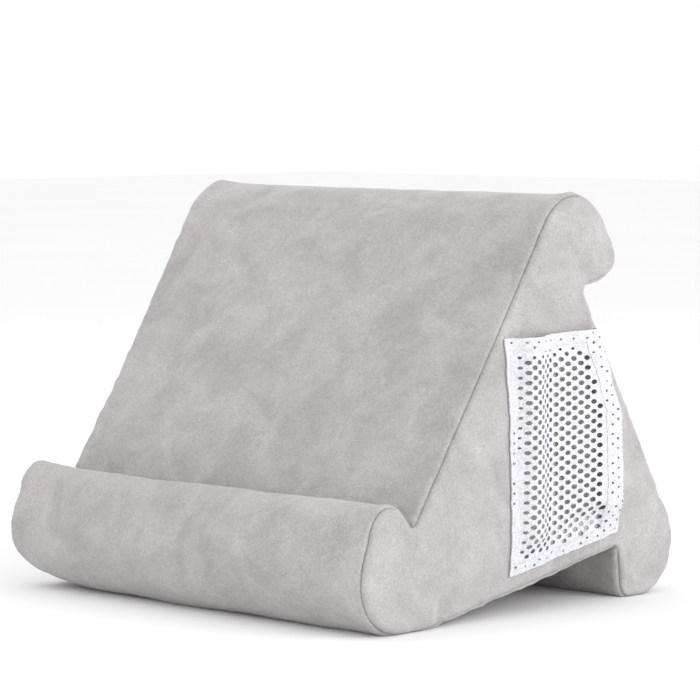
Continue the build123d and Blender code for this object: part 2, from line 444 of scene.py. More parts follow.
def fill_with_air(cover, sewn):
    """Plumps the cover by a short cloth simulation. Its sinking is then held to a small limit, as
    the foam inside would.
    """
    rest = points_of(cover)
    cover.vertex_groups.new(name="sewn").add(sewn, 1.0, "REPLACE")
    cloth = cover.modifiers.new("filling", "CLOTH")
    for key, value in filling_cloth.items():
        setattr(cloth.settings, key, value)
    cloth.settings.effector_weights.gravity = 0
    cloth.collision_settings.use_collision = False
    cloth.point_cache.frame_start = 1
    cloth.point_cache.frame_end = filling_moments
    for moment in range(1, filling_moments + 1):
        bpy.context.scene.frame_set(moment)
    only(cover)
    bpy.ops.object.modifier_apply(modifier=cloth.name)
    bpy.context.scene.frame_set(1)
    move = points_of(cover) - rest
    put_points(cover, rest)
    out = normals_of(cover)
    outward = (move * out).sum(1)
    sideways = move - outward[:, None] * out
    swollen = plump_limit * np.tanh(outward / plump_limit)
    sunk = sink_limit * np.tanh(outward / (4 * sink_limit))
    held = np.where(outward > 0, swollen, sunk)
    slid = np.linalg.norm(sideways, axis=1)
    share = slide_limit * np.tanh(slid / slide_limit) / np.maximum(slid, 1e-9)
    put_points(cover, rest + out * held[:, None] + sideways * share[:, None])


def nearest_on(seam_points, points):
    """Distance to, and place of, the nearest seam point for each point."""
    tree = KDTree(len(seam_points))
    for i, place in enumerate(seam_points):
        tree.insert(place, i)
    tree.balance()
    found = [tree.find(p) for p in points]
    return np.array([f[2] for f in found]), np.array([f[0] for f in found])


def seam_line(places):
    """Points close together along a line of places."""
    at = measured(places)
    return on_line(places, at, np.arange(0, at[-1], seam_step))


def settled(points):
    """Points of the straight form as they lie in the filled stand.

    Its left end swells, its front corner there lifts off the floor, and its top crowns. Each
    line works on the places that the lines before it gave.
    """
    points = np.array(points, dtype=float)
    x, y, z = points.T
    leftness = np.clip((middle_x - x) / half_width, 0, 1)
    swell_top = 3.4 * MM * step(z, 110 * MM, 210 * MM)
    swell_lip = 2.6 * MM * (1 - step(y, -115 * MM, -80 * MM))
    points[:, 0] -= (2.6 * MM + swell_top + swell_lip) * leftness**3 * step(z, -2 * MM, 26 * MM)
    low_front = (1 - step(z, 0, 42 * MM)) * (1 - step(y, -75 * MM, -20 * MM))
    points[:, 2] += (2.4 * MM * leftness**1.5 + 6.0 * MM * leftness**9) * low_front
    lip_crown = step(z, 50 * MM, 75 * MM) * (1 - step(y, -100 * MM, -85 * MM))
    points[:, 2] += 2.6 * MM * leftness**4 * lip_crown
    points[:, 0] += 3.0 * MM * leftness**6 * (1 - step(z, 4 * MM, 40 * MM))
    points[:, 2] += (1.2 * MM + 1.4 * MM * leftness**2) * step(z, 150 * MM, 225 * MM)
    return points


def side_seam(side):
    """The line of a side seam on the finished cover."""
    distance = np.arange(0, walk.length, seam_step)
    place = walk.point(distance) - walk.out(distance) * seam_inset
    return settled(np.column_stack([np.full(len(place), middle_x + side * half_seam), place]))


def cross_seam(row):
    """The line of a cross seam on the finished cover."""
    y, z = walk.point(row)
    return settled(seam_line([(middle_x - half_seam, y, z), (middle_x + half_seam, y, z)]))


def soften_cover(cover):
    """Adds the seam grooves, puckers, dips and slow waves of plush cloth over foam."""
    points, normals = points_of(cover), normals_of(cover)
    side_distance, side_place = nearest_on(np.vstack([side_seam(-1), side_seam(1)]), points)
    pucker = noise_over(side_place, 9 * MM) + 0.6 * noise_over(side_place, 4.5 * MM)
    # seam_shade marks where the plush finish paints shade into the seams
    seam_shade = bell(side_distance, 0.8 * MM)
    rise = -1.4 * MM * bell(side_distance, 1.0 * MM)
    rise += 0.6 * MM * bell(side_distance - 3.6 * MM, 1.8 * MM)
    rise += 0.55 * MM * pucker * np.exp(-side_distance / (7 * MM))
    on_end = abs(normals[:, 0]) > 0.7
    for row, depth, reach, fold in cross_seams:
        distance, place = nearest_on(cross_seam(row), points)
        seam_shade = np.maximum(seam_shade, bell(distance, 1.6 * MM))
        pucker = noise_over(place, 11 * MM, (0, 0, 0.3))
        rise -= depth * bell(distance, 1.3 * MM)
        rise += (
            1.5 * depth * pucker * np.exp(-distance / reach)
            * np.clip(distance / (2 * MM), 0, 1)
        )
        arm = points[:, 1:] - walk.point(row)
        far = np.linalg.norm(arm, axis=1)
        fan = 1.7 * arm / np.maximum(far, 1e-9)[:, None]
        folds = noise_over(np.column_stack([fan, 3.0 + points[:, 0]]), 1.0)
        rise += on_end * fold * folds * np.exp(-far / (11 * MM)) * step(far, 2 * MM, 8 * MM)
    from_end = half_width - abs(points[:, 0] - middle_x)
    on_face = np.clip((normals @ face_out) * 2 - 0.8, 0, 1)
    rise -= 2.3 * MM * on_face * bell(from_end - 18 * MM, 9 * MM)
    wave = noise_over(points, 48 * MM) + 0.35 * noise_over(points, 17 * MM, (1, 0, 0))
    from_zip = np.linalg.norm(points[:, 1:] - walk.point(zip_row), axis=1)
    wave *= (
        np.clip(side_distance / (12 * MM), 0, 1)
        * np.clip((from_zip - 9 * MM) / (10 * MM), 0, 1)
    )
    rise += 0.8 * MM * wave
    put_points(cover, above_floor(points + normals * rise[:, None]))
    # The seam_shade mark, which the plush finish turns into painted shade along the seams
    mark = cover.data.attributes.new("seam_shade", "FLOAT", "POINT")
    mark.data.foreach_set("value", seam_shade.astype(np.float32))


def part_by_cut(cover, number, name):
    """One panel of the cover as its own piece."""
    work = bmesh.new()
    work.from_mesh(cover.data)
    others = [face for face in work.faces if face.material_index != number]
    bmesh.ops.delete(work, geom=others, context="FACES")
    mesh = bpy.data.meshes.new(name)
    work.to_mesh(mesh)
    work.free()
    return piece_of(name, mesh)


# ---- finishes


def grey(level):
    return (level, level, level)


class Finish:
    """A material that is put together from nodes, which read the place on the piece."""

    def __init__(self, name, roughness, **sockets):
        self.material = bpy.data.materials.new(name)
        self.material.use_nodes = True
        self.nodes = self.material.node_tree.nodes
        self.shader = self.nodes["Principled BSDF"]
        self.feed(self.shader, Roughness=roughness, **sockets)
        self.place = self.nodes.new("ShaderNodeTexCoord").outputs["Object"]

    def feed(self, node, **values):
        """Sets a node's inputs by name, or links them to another node's output."""
        for name, value in values.items():
            socket = node.inputs[name.replace("_", " ")]
            if isinstance(value, bpy.types.NodeSocket):
                self.material.node_tree.links.new(value, socket)
            else:
                socket.default_value = value

    def node(self, kind, **values):
        node = self.nodes.new("ShaderNode" + kind)
        self.feed(node, **values)
        return node

    def noise(self, size, detail=3.0, roughness=0.55, distortion=0.0):
        """Noise whose lumps are about this many metres across."""
        node = self.node("TexNoise", Vector=self.place, Scale=1 / size, Detail=detail)
        self.feed(node, Roughness=roughness, Distortion=distortion)
        return node.outputs["Fac"]

    def ramp(self, value, *stops):
        """Colours by value: each stop is (value, colour)."""
        node = self.node("ValToRGB", Fac=value)
        for element, (position, colour) in zip(node.color_ramp.elements, stops):
            element.position = position
            element.color = (*colour, 1)
        return node.outputs["Color"]

    def tint(self, first, second):
        """Two colours multiplied."""
        node = self.nodes.new("ShaderNodeMix")
        node.data_type = "RGBA"
        node.blend_type = "MULTIPLY"
        node.inputs[0].default_value = 1.0
        for number, colour in ((6, first), (7, second)):
            self.material.node_tree.links.new(colour, node.inputs[number])
        return node.outputs[2]

    def bump(self, height, distance, strength, **under):
        node = self.node("Bump", Height=height, Distance=distance, Strength=strength, **under)
        return node.outputs["Normal"]

    def spread(self, value, low, high):
        """A value from 0 to 1 spread from low to high."""
        return self.node("MapRange", Value=value, To_Min=low, To_Max=high).outputs["Result"]

    def surface(self, colour, roughness, normal):
        self.feed(self.shader, Base_Color=colour, Roughness=roughness, Normal=normal)
        return self.material


def plush_finish(name, light, dark):
    """Short-pile plush: soft blotches where the pile leans, under a fine grain of fibre ends."""
    make = Finish(name, 0.9, Sheen_Weight=0.35, Sheen_Roughness=0.45, Specular_IOR_Level=0.15)
    lean = make.noise(30 * MM, 4.0, 0.6, 0.6)
    clump = make.noise(6 * MM, 4.0, 0.65, 0.3)
    fibre = make.noise(1.2 * MM, 4.0, 0.75)
    seam = make.node("Attribute")
    seam.attribute_name = "seam_shade"
    colour = make.ramp(lean, (0.34, dark), (0.66, light))
    colour = make.tint(colour, make.ramp(clump, (0.3, grey(0.91)), (0.7, grey(1))))
    colour = make.tint(colour, make.ramp(fibre, (0.32, grey(0.68)), (0.68, grey(1))))
    # Painted shade: the colour is darkened along the seam grooves wherever the seam_shade mark is
    # high
    painted_seam_shade = make.ramp(seam.outputs["Fac"], (0.25, grey(1)), (0.95, (0.62, 0.61, 0.6)))
    pile = make.bump(fibre, 0.45 * MM, 0.8)
    pile = make.bump(clump, 0.9 * MM, 0.5, Normal=pile)
    return make.surface(make.tint(colour, painted_seam_shade), make.spread(clump, 0.82, 0.98), pile)


def foam_finish(name, light, dark):
    """Open-cell foam: pale, with small dark pores."""
    make = Finish(name, 0.95, Specular_IOR_Level=0.1)
    pores = make.node("TexVoronoi", Scale=1 / (1.4 * MM), Vector=make.place).outputs["Distance"]
    age = make.noise(40 * MM)
    cells = make.ramp(pores, (0.1, dark), (0.45, light))
    colour = make.tint(cells, make.ramp(age, (0.3, (0.9, 0.9, 0.86)), (0.7, grey(1))))
    return make.surface(colour, make.spread(age, 0.88, 1.0), make.bump(pores, 0.4 * MM, 0.8))


def fibre_finish(name, light, dark, strand, roughness=0.75, gloss=0.3):
    """Yarn, tape or satin: fine twisted strands with lighter and darker stretches."""
    make = Finish(name, roughness, Sheen_Weight=0.2, Specular_IOR_Level=gloss)
    wave = make.node("TexWave", Scale=0.3 / strand, Distortion=1.5, Detail=2, Vector=make.place)
    wave.bands_direction = "DIAGONAL"
    twist = wave.outputs["Fac"]
    wear = make.noise(7 * MM)
    tone = make.ramp(wear, (0.3, dark), (0.7, light))
    colour = make.tint(tone, make.ramp(twist, (0.2, grey(0.86)), (0.8, grey(1))))
    worn = make.spread(wear, roughness - 0.1, roughness + 0.1)
    return make.surface(colour, worn, make.bump(twist, strand * 0.5, 0.6))


def metal_finish(name, colour):
    """Plated zip metal with a soft tumbled surface and small scuffs."""
    make = Finish(name, 0.3, Metallic=1.0)
    scuff = make.noise(1.2 * MM, 5.0, 0.7)
    dull = tuple(0.82 * part for part in colour)
    tone = make.ramp(make.noise(5 * MM), (0.3, dull), (0.7, colour))
    return make.surface(tone, make.spread(scuff, 0.2, 0.46), make.bump(scuff, 0.04 * MM, 0.5))


def net_finish(name, light, dark):
    """Warp-knitted net: small raised loops of yarn."""
    make = Finish(name, 0.8, Sheen_Weight=0.2, Specular_IOR_Level=0.2)
    cells = make.nodes.new("ShaderNodeTexVoronoi")
    cells.feature = "SMOOTH_F1"
    make.feed(cells, Scale=1 / (0.95 * MM), Vector=make.place)
    loops = cells.outputs["Distance"]
    age = make.noise(9 * MM)
    tone = make.ramp(age, (0.3, dark), (0.7, light))
    colour = make.tint(tone, make.ramp(loops, (0.1, grey(1)), (0.62, (0.72, 0.72, 0.75))))
    raised = make.bump(make.spread(loops, 1.0, 0.0), 0.35 * MM, 0.9)
    return make.surface(colour, make.spread(age, 0.7, 0.9), raised)


plush = plush_finish("grey_plush", (0.63, 0.602, 0.594), (0.505, 0.483, 0.477))
cream_foam = foam_finish("cream_foam", (0.72, 0.66, 0.5), (0.42, 0.37, 0.26))
white_net = net_finish("white_net_yarn", (0.88, 0.88, 0.925), (0.8, 0.8, 0.845))
white_thread = fibre_finish("white_sewing_thread", (0.78, 0.78, 0.8), (0.66, 0.66, 0.69), 0.25 * MM)
grey_thread = fibre_finish(
    "grey_sewing_thread", (0.36, 0.35, 0.345), (0.27, 0.262, 0.258), 0.25 * MM
)
elastic_band = fibre_finish(
    "white_knitted_elastic", (0.86, 0.86, 0.87), (0.74, 0.74, 0.76), 0.6 * MM
)
woven_tape = fibre_finish("grey_zip_tape", (0.47, 0.46, 0.455), (0.38, 0.37, 0.365), 0.4 * MM)
nylon = fibre_finish(
    "grey_nylon_coil", (0.5, 0.49, 0.485), (0.42, 0.41, 0.405), 0.6 * MM, 0.35, 0.5
)
satin = fibre_finish("white_satin_label", (0.88, 0.88, 0.87), (0.8, 0.8, 0.79), 0.3 * MM, 0.4, 0.5)
plated = metal_finish("plated_zip_metal", (0.62, 0.6, 0.58))


# ---- the foam block


def foam_block(cover):
    """The foam inside the cover, relieved behind the zip."""
    foam = piece_from("foam_block", points_of(cover), faces_of(cover))
    outwards(foam)
    soften_cover(foam)
    points, normals = points_of(foam), normals_of(foam)
    from_zip = np.linalg.norm(points[:, 1:] - walk.point(zip_row), axis=1)
    to_slot_end = slot_half_length + zip_relief_edge - abs(points[:, 0] - middle_x)
    behind = np.clip((zip_relief_reach - from_zip) / zip_relief_edge, 0, 1)
    behind *= np.clip(to_slot_end / zip_relief_edge, 0, 1)
    points -= normals * (foam_clearance + zip_relief * behind)[:, None]
    put_points(foam, above_floor(points, foam_clearance))
    dress(foam, STAND, "foam", cream_foam, "foam_core")


# ---- stitches

seam_stitch_size = (2.2 * MM, 0.5 * MM, 0.34 * MM)
pocket_stitch_size = (1.9 * MM, 0.5 * MM, 0.4 * MM)


def stitch_model(size):
    """One stitch along x: a small rounded bead of thread with its middle at the origin."""
    deselect_all()
    bpy.ops.mesh.primitive_cylinder_add(
        vertices=6, radius=0.5, depth=1.0, rotation=(0, math.pi / 2, 0)
    )
    stitch = bpy.context.object
    bpy.ops.object.transform_apply(location=True, rotation=True, scale=True)
    bpy.ops.object.mode_set(mode="EDIT")
    bpy.ops.mesh.select_mode(type="FACE")
    bpy.ops.mesh.select_all(action="DESELECT")
    bpy.ops.object.mode_set(mode="OBJECT")
    for face in stitch.data.polygons:
        face.select = abs(face.normal.x) > 0.9
    bpy.ops.object.mode_set(mode="EDIT")
    bpy.ops.mesh.bevel(offset=0.22, segments=1, affect="EDGES")
    bpy.ops.object.mode_set(mode="OBJECT")
    stitch.scale = size
    bpy.ops.object.transform_apply(location=False, rotation=False, scale=True)
    return stitch


def copies_of(name, model, places, along, up):
    """One piece made of copies of a model, each with its own place, direction and upward side."""
    shape = points_of(model)
    along = unit(along)
    side = unit(np.cross(up, along))
    points = places[:, None]
    for number, direction in enumerate((along, side, np.cross(along, side))):
        points = points + shape[:, number, None] * direction[:, None]
    count = len(shape)
    every = [
        tuple(i + k * count for i in face)
        for k in range(len(places))
        for face in faces_of(model)
    ]
    return piece_from(name, points.reshape(-1, 3), every)


def even_places(line, pitch):
    """Places at an even pitch along a line of points, with the direction at each."""
    at = measured(line)
    count = int(at[-1] / pitch)
    wanted = (np.arange(count) + 0.5) * at[-1] / count
    before, after = on_line(line, at, wanted - 0.3 * MM), on_line(line, at, wanted + 0.3 * MM)
    return on_line(line, at, wanted), after - before


def onto_skin(place, out, reach=12 * MM):
    """The point of the cover's surface that lies straight inwards from a place outside it."""
    place, out = Vector(place), Vector(out).normalized()
    hit = skin.ray_cast(place + out * reach, -out, 2 * reach)[0]
    return hit if hit is not None else place


def side_seam_stitches(side, name, node, model):
    """Stitches in the groove of one side seam."""
    line = side_seam(side)
    places, along = even_places(np.vstack([line, line[:1]]), stitch_pitch)
    out = walk.out([walk.nearest(place[1:]) for place in places])
    up = np.column_stack([np.full(len(out), float(side)), out])
    places = np.array([onto_skin(p, u, 6 * MM) for p, u in zip(places, up)])
    dress(copies_of(name, model, places, along, up), STAND, "grey_thread", grey_thread, node)


def straight_stitches(name, node, model, lines, reach):
    """Stitches on the cover along straight lines, each given with its outward direction."""
    groups = []
    for line, out in lines:
        places, along = even_places(line, stitch_pitch)
        groups.append(
            ([onto_skin(p, out, reach) for p in places], along, [tuple(out)] * len(places))
        )
    places, along, up = (np.vstack(part) for part in zip(*groups))
    dress(copies_of(name, model, places, along, up), STAND, "grey_thread", grey_thread, node)


# ---- the net pocket

net_cell = (9.9 * MM, 2.83 * MM)  # between holes in a row, and between rows
net_corners = [(0.332, 0), (-0.332, 0), (0.1685, 1.0), (-0.1685, 1.0)]  # yarn crossings, in cells
hole_size = (2.3 * MM, 1.42 * MM)
hole_sides = 14
hem_dot = (1.0 * MM, 0.75 * MM)
net_thickness = 0.4 * MM
hem_thickness = 0.45 * MM
hem_middle = (net_thickness + hem_thickness) / 2  # above the middle of the net
hem_widths = [6 * MM, 16 * MM, 14 * MM, 7 * MM, 4.5 * MM]  # bottom, rear, upper rear, mouth, front
sewn_insets = [2.6 * MM, 2.6 * MM, 2.6 * MM, 6.0 * MM, 2.6 * MM]
pocket_stitch_pitch = 2.6 * MM
pocket_fullness = 6.4 * MM
pocket_gap = 0.75 * MM  # between the side of the stand and the net where it is sewn down
rear_draw = 3.5 * MM  # the filled pocket draws its rear side in
gathered_to = 16 * MM
gathered_share = 0.76
crease_heights = [28 * MM, 131 * MM, 159 * MM]
crease_places = [19 * MM, 16 * MM, 21 * MM]
fold_from, fold_to = np.array([22 * MM, 50 * MM]), np.array([70 * MM, 56 * MM])
fold_depth = 4.6 * MM


def pocket_cut():
    """The corners of the pocket (y, z), round from its lower front corner."""
    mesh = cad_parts["mesh_pocket"].data
    flat = {
        (round(v.co.y, 5), round(v.co.z, 5))
        for v in mesh.vertices
        if v.co.x < right_end + 0.1 * MM
    }
    places = [Vector(place) for place in sorted(flat)]
    hull = np.array([places[i] for i in convex_hull_2d(places)])
    before, after = unit(hull - np.roll(hull, 1, axis=0)), unit(np.roll(hull, -1, axis=0) - hull)
    corners = hull[abs(turn_of(before, after)) > 0.08]
    if turn_of(corners, np.roll(corners, -1, axis=0)).sum() < 0:
        corners = corners[::-1]
    return np.roll(corners, -int(corners.sum(1).argmin()), axis=0)


def moved_sides(corners, widths):
    """The corners of a shape whose sides are moved inwards, each by its own width."""
    ahead = unit(np.roll(corners, -1, axis=0) - corners)
    start = corners + left_of(ahead) * np.array(widths)[:, None]
    moved = []
    for i in range(len(corners)):
        to_meeting = turn_of(start[i] - start[i - 1], ahead[i]) / turn_of(ahead[i - 1], ahead[i])
        moved.append(start[i - 1] + ahead[i - 1] * to_meeting)
    return np.array(moved)


def wavy_sides(corners, pitch=1.2 * MM, wave=0.55 * MM, seed=0.0):
    """Points along the sides of a shape, with a slight wave as of cut and turned cloth."""
    points = []
    for a, b in zip(corners, np.roll(corners, -1, axis=0)):
        count = max(2, int(np.linalg.norm(b - a) / pitch))
        across = left_of(unit(b - a))
        for k in range(count):
            place = a + (b - a) * k / count
            spot = (place[0], place[1], seed)
            shift = soft_noise(spot, 9 * MM) + 0.7 * soft_noise(spot, 3.5 * MM)
            points.append(place + across * wave * shift * min(1, 3 * k / count))
    return np.array(points)


def hem_distance(places):
    """How far places are from the mouth hem or the front hem, where the net is drawn tighter."""
    nearest = np.full(len(places), 1.0)
    for number in (3, 4):
        corner, after = corner_list[number], corner_list[(number + 1) % 5]
        inward = left_of(unit(after - corner))
        nearest = np.minimum(nearest, (places - corner) @ inward - hem_widths[number])
    return nearest


def gathered(places):
    """Places of the flat net as they lie in the pocket, where its front third is gathered."""
    y = places[:, 0]
    drawn = gathered_to + (y - gathered_to) * gathered_share
    return np.column_stack([np.where(y < gathered_to, drawn, y), places[:, 1]])


def net_lattice(low, high):
    """Centres of the net's holes, in staggered rows."""
    centres = []
    for k in range(int(low[1] / net_cell[1]), int(high[1] / net_cell[1]) + 1):
        for i in range(int(low[0] / net_cell[0]) - 1, int(high[0] / net_cell[0]) + 2):
            centres.append(((i + (k % 2) / 2) * net_cell[0], k * net_cell[1]))
    return np.array(centres)


def punched_cloth(rings, inner, holes, size, extra):
    """Flat points and triangles of a cloth with holes, each of its own size. Inner is left open."""
    angle = np.arange(hole_sides) * math.tau / hole_sides
    circle = np.stack([np.cos(angle), np.sin(angle)], axis=1)
    points, edges = [], []
    for loop in [*rings, *(centre + circle * own for centre, own in zip(holes, size))]:
        start = len(points)
        points += [Vector(p) for p in loop]
        edges += [(start + i, start + (i + 1) % len(loop)) for i in range(len(loop))]
    points += [Vector(p) for p in extra]
    places, _, faces, _, _, _ = delaunay_2d_cdt(points, edges, [], 1, 1e-8)
    places = np.array([tuple(p) for p in places])
    faces = np.array([tuple(f) for f in faces])
    middle = places[faces].mean(1)
    open_to = np.zeros(len(faces), bool)
    if inner is not None:
        open_to |= within(middle, inner)
    for centre, own in zip(holes, size):
        open_to |= (((middle - centre) / own) ** 2).sum(1) < 0.97
    return places, faces[~open_to]


corner_list = pocket_cut()
corner_list[2, 0] -= rear_draw
pocket_edge = wavy_sides(corner_list)
hem_edge = wavy_sides(moved_sides(corner_list, hem_widths), seed=0.4)


def pocket_lift(places):
    """How far the net stands off the side of the stand at each (y, z) place."""
    lower_front, lower_rear, waist, upper_rear, upper_front = corner_list
    y, z = places[:, 0], places[:, 1]
    bottom = np.interp(y, [lower_front[0], lower_rear[0]], [lower_front[1], lower_rear[1]])
    mouth = np.interp(y, [upper_front[0], upper_rear[0]], [upper_front[1], upper_rear[1]])
    front = np.interp(z, [lower_front[1], upper_front[1]], [lower_front[0], upper_front[0]])
    rear = np.interp(
        z, [lower_rear[1], waist[1], upper_rear[1]], [lower_rear[0], waist[0], upper_rear[0]]
    )
    height = (z - bottom) / (mouth - bottom)
    crease = np.interp(z, crease_heights, crease_places)
    fore = np.clip((y - front) / (crease - front), 0, 1)
    aft = np.clip((y - crease) / (rear - crease), 0, 1)
    fore_swell = step(fore, 0.1, 0.42) * (1 - 0.9 * step(fore, 0.5, 1.0))
    aft_swell = (0.08 + 0.86 * np.clip(aft / 0.8, 0, 1) ** 1.3) * (1 - 0.88 * step(aft, 0.955, 1.0))
    swell = np.where(y < crease, fore_swell, aft_swell)
    lift = pocket_fullness * swell * (0.12 + 0.88 * step(height, 0.02, 0.2))
    ahead = unit(fold_to - fold_from)
    from_fold = places - fold_from
    below = from_fold @ -left_of(ahead)
    beside = step(from_fold @ ahead, 0.0, 14 * MM) * (1 - step(aft, 0.66, 0.78))
    lift -= (
        fold_depth * beside * step(below, -6 * MM, 1 * MM)
        * (1 - step(below, 3 * MM, 15 * MM)) * swell
    )
    ruffle = noise_over(np.column_stack([places, np.full(len(places), 0.7)]), 13 * MM)
    return pocket_gap + lift + 0.6 * MM * ruffle * np.clip(lift / (2 * MM), 0, 1)


def side_at(y, z):
    """How far out the right side of the cover is at a place."""
    hit = skin.ray_cast(Vector((right_end + 20 * MM, y, z)), Vector((-1, 0, 0)))[0]
    return right_end if hit is None else hit.x


def on_pocket(places, above=0.0):
    """Places in space on the pocket, from flat (y, z) places."""
    side = np.array([side_at(y, z) for y, z in places])
    return np.column_stack([side + pocket_lift(places) + above, places])


def pocket_up(places, lean=0.5 * MM):
    """The outward direction of the pocket's surface."""
    across = (pocket_lift(places + [lean, 0]) - pocket_lift(places - [lean, 0])) / (2 * lean)
    upward = (pocket_lift(places + [0, lean]) - pocket_lift(places - [0, lean])) / (2 * lean)
    return np.column_stack([np.ones(len(places)), -across, -upward])


def net_pocket():
    """The net with its holes, and the folded hem round it."""
    flat = net_lattice(pocket_edge.min(0) - [20 * MM, 0], pocket_edge.max(0))
    extra = gathered(np.vstack([flat + np.array(corner) * net_cell for corner in net_corners]))
    centres = gathered(flat)
    centres = centres[within(centres, pocket_edge) & (gap_to(centres, pocket_edge) > 1.5 * MM)]
    in_hem = ~within(centres, hem_edge)
    to_hem = gap_to(centres, hem_edge)
    uneven = np.array([[soft_noise((a, b, c), 5 * MM) for c in (0.1, 0.9)] for a, b in centres])
    snug = 0.5 + 0.5 * step(hem_distance(centres), 0.5 * MM, 9 * MM)
    sizes = np.array(hole_size) * snug[:, None] * (1 + 0.3 * uneven * (1.25 - snug[:, None]))
    sizes[centres[:, 0] < gathered_to, 0] *= 0.8
    sizes[in_hem] = np.array(hem_dot) * (1 + 0.7 * uneven[in_hem])
    open_hole = ~in_hem & (to_hem > 1.8 * MM)
    dot = in_hem & (to_hem > 1.4 * MM) & (uneven.sum(1) > -0.35)
    rear_fold = wavy_sides(moved_sides(corner_list, [2.4 * MM] * 5), 2.4 * MM, 0.0)
    extra = np.vstack([extra, rear_fold])
    extra = extra[within(extra, pocket_edge) & (gap_to(extra, pocket_edge) > 1.0 * MM)]
    holes = open_hole | dot
    places, faces = punched_cloth([pocket_edge], None, centres[holes], sizes[holes], extra)
    net = piece_from("net_pocket", on_pocket(places), faces)
    thicken(net, net_thickness)
    dress(net, STAND, "pocket_net", white_net, "mesh_pocket", crease=40)
    grid = extra[~within(extra, hem_edge) & (gap_to(extra, hem_edge) > 1.0 * MM)]
    places, faces = punched_cloth([pocket_edge, hem_edge], hem_edge, centres[dot], sizes[dot], grid)
    hem = piece_from("pocket_hem", on_pocket(places, hem_middle), faces)
    thicken(hem, hem_thickness)
    dress(hem, STAND, "pocket_net", white_net, crease=50)


def pocket_stitches(model):
    """The rows of white stitches that sew the pocket down and close its mouth hem."""
    sewn = moved_sides(corner_list, sewn_insets)
    path = seam_line(np.column_stack([np.zeros(len(sewn) + 1), np.vstack([sewn, sewn[:1]])]))
    places, along = even_places(path, pocket_stitch_pitch)
    flat, half_along = places[:, 1:], along[:, 1:] * 0.5
    top = hem_middle + hem_thickness / 2
    direction = on_pocket(flat + half_along, top) - on_pocket(flat - half_along, top)
    stitches = copies_of("pocket_stitches", model, on_pocket(flat, top), direction, pocket_up(flat))
    dress(stitches, STAND, "white_thread", white_thread, "pocket_thread")


def mouth_elastic():
    """The knitted elastic inside the mouth hem, gathered into small ribs."""
    upper_rear, upper_front = corner_list[3], corner_list[4]
    length = np.linalg.norm(upper_rear - upper_front)
    ahead = (upper_rear - upper_front) / length
    band, shape = flat_sheet("mouth_elastic", 170, 6)
    along = (shape[:, 0] + 0.5) * (length - 16 * MM) + 5 * MM
    drop = 1.0 * MM + (0.5 - shape[:, 1]) * 5.0 * MM
    places = upper_front + along[:, None] * ahead - drop[:, None] * left_of(ahead)
    points = on_pocket(places, -1.0 * MM)
    points[:, 0] += 0.14 * MM * np.sin(along / (1.9 * MM) * math.tau)
    points[:, 0] = np.maximum(points[:, 0], right_end - 3 * MM)
    put_points(band, points)
    thicken(band, 0.6 * MM)
    dress(band, STAND, "elastic", elastic_band, "pocket_mouth_elastic")


# ---- the zip

zip_out = Vector((0, *walk.out(zip_row)))
zip_front = Vector((0, zip_out.z, -zip_out.y))
zip_frame = Matrix((Vector((1, 0, 0)), zip_front, zip_out)).transposed().to_4x4()
zip_frame.translation = Vector((middle_x, *walk.point(zip_row)))
tape_width = 15.0 * MM
tape_from_middle = 0.8 * MM
tape_height = -1.55 * MM  # heights and places are from the zip's middle, on the cover's surface
tape_thickness = 0.45 * MM
coil_pitch = 1.4 * MM
coil_place = (1.35 * MM, -0.38 * MM)
coil_end_gap = 4.2 * MM
zip_stitch_place = 8 * MM
label_thickness = 0.3 * MM
label_gap = 0.45 * MM
label_curl = 1.2 * MM


def into_zip(piece):
    """Puts a piece that was made flat at the origin in its place on the zip."""
    piece.data.transform(zip_frame)
    piece.data.update()
    outwards(piece)


def zip_tape(side, name, node):
    """One woven tape, a little rippled towards its outer edge."""
    tape, shape = flat_sheet(name, 100, 10)
    along = shape[:, 0] * (slot_half_length * 2 - 0.4 * MM)
    across = (shape[:, 1] + 0.5) * tape_width + tape_from_middle
    ripple = noise_over([(a, b, side) for a, b in zip(along, across)], 12 * MM)
    height = tape_height + 0.12 * MM * ripple * np.clip(across / (12 * MM), 0, 1)
    put_points(tape, np.column_stack([along, side * across, height]))
    thicken(tape, tape_thickness)
    into_zip(tape)
    dress(tape, STAND, "zip_tape", woven_tape, node, crease=50)


def coil_loop():
    """One loop of the nylon coil: a flattened ring of wire."""
    deselect_all()
    bpy.ops.mesh.primitive_torus_add(
        major_segments=12, minor_segments=4, major_radius=0.75 * MM, minor_radius=0.3 * MM,
        rotation=(0, math.pi / 2, 0),
    )
    loop = bpy.context.object
    bpy.ops.object.transform_apply(location=True, rotation=True, scale=True)
    bpy.ops.object.mode_set(mode="EDIT")
    bpy.ops.mesh.select_all(action="SELECT")
    bpy.ops.transform.resize(value=(1.0, 1.42, 0.86))
    bpy.ops.object.mode_set(mode="OBJECT")
    return loop


def zip_coil(side, name, node, model):
    """A row of coil loops on one tape, staggered against the other row."""
    first = -slot_half_length + coil_end_gap + (side < 0) * coil_pitch / 2
    along = np.arange(first, slot_half_length - coil_end_gap, coil_pitch)
    count = len(along)
    across, height = coil_place
    places = np.column_stack([along, np.full(count, side * across), np.full(count, height)])
    ahead, up = np.tile([1.0, 0.06 * side, 0.0], (count, 1)), np.tile([0.0, 0.0, 1.0], (count, 1))
    coil = copies_of(name, model, places, ahead, up)
    into_zip(coil)
    dress(coil, STAND, "zip_coil", nylon, node, crease=70)


def zip_stitch_lines():
    """The two lines of stitches that hold the zip under the cover."""
    end = slot_half_length - 3 * MM
    sides = (-zip_stitch_place, zip_stitch_place)
    return [
        (np.array([zip_frame @ Vector((x, side, 0)) for x in (-end, end)]), zip_out)
        for side in sides
    ]


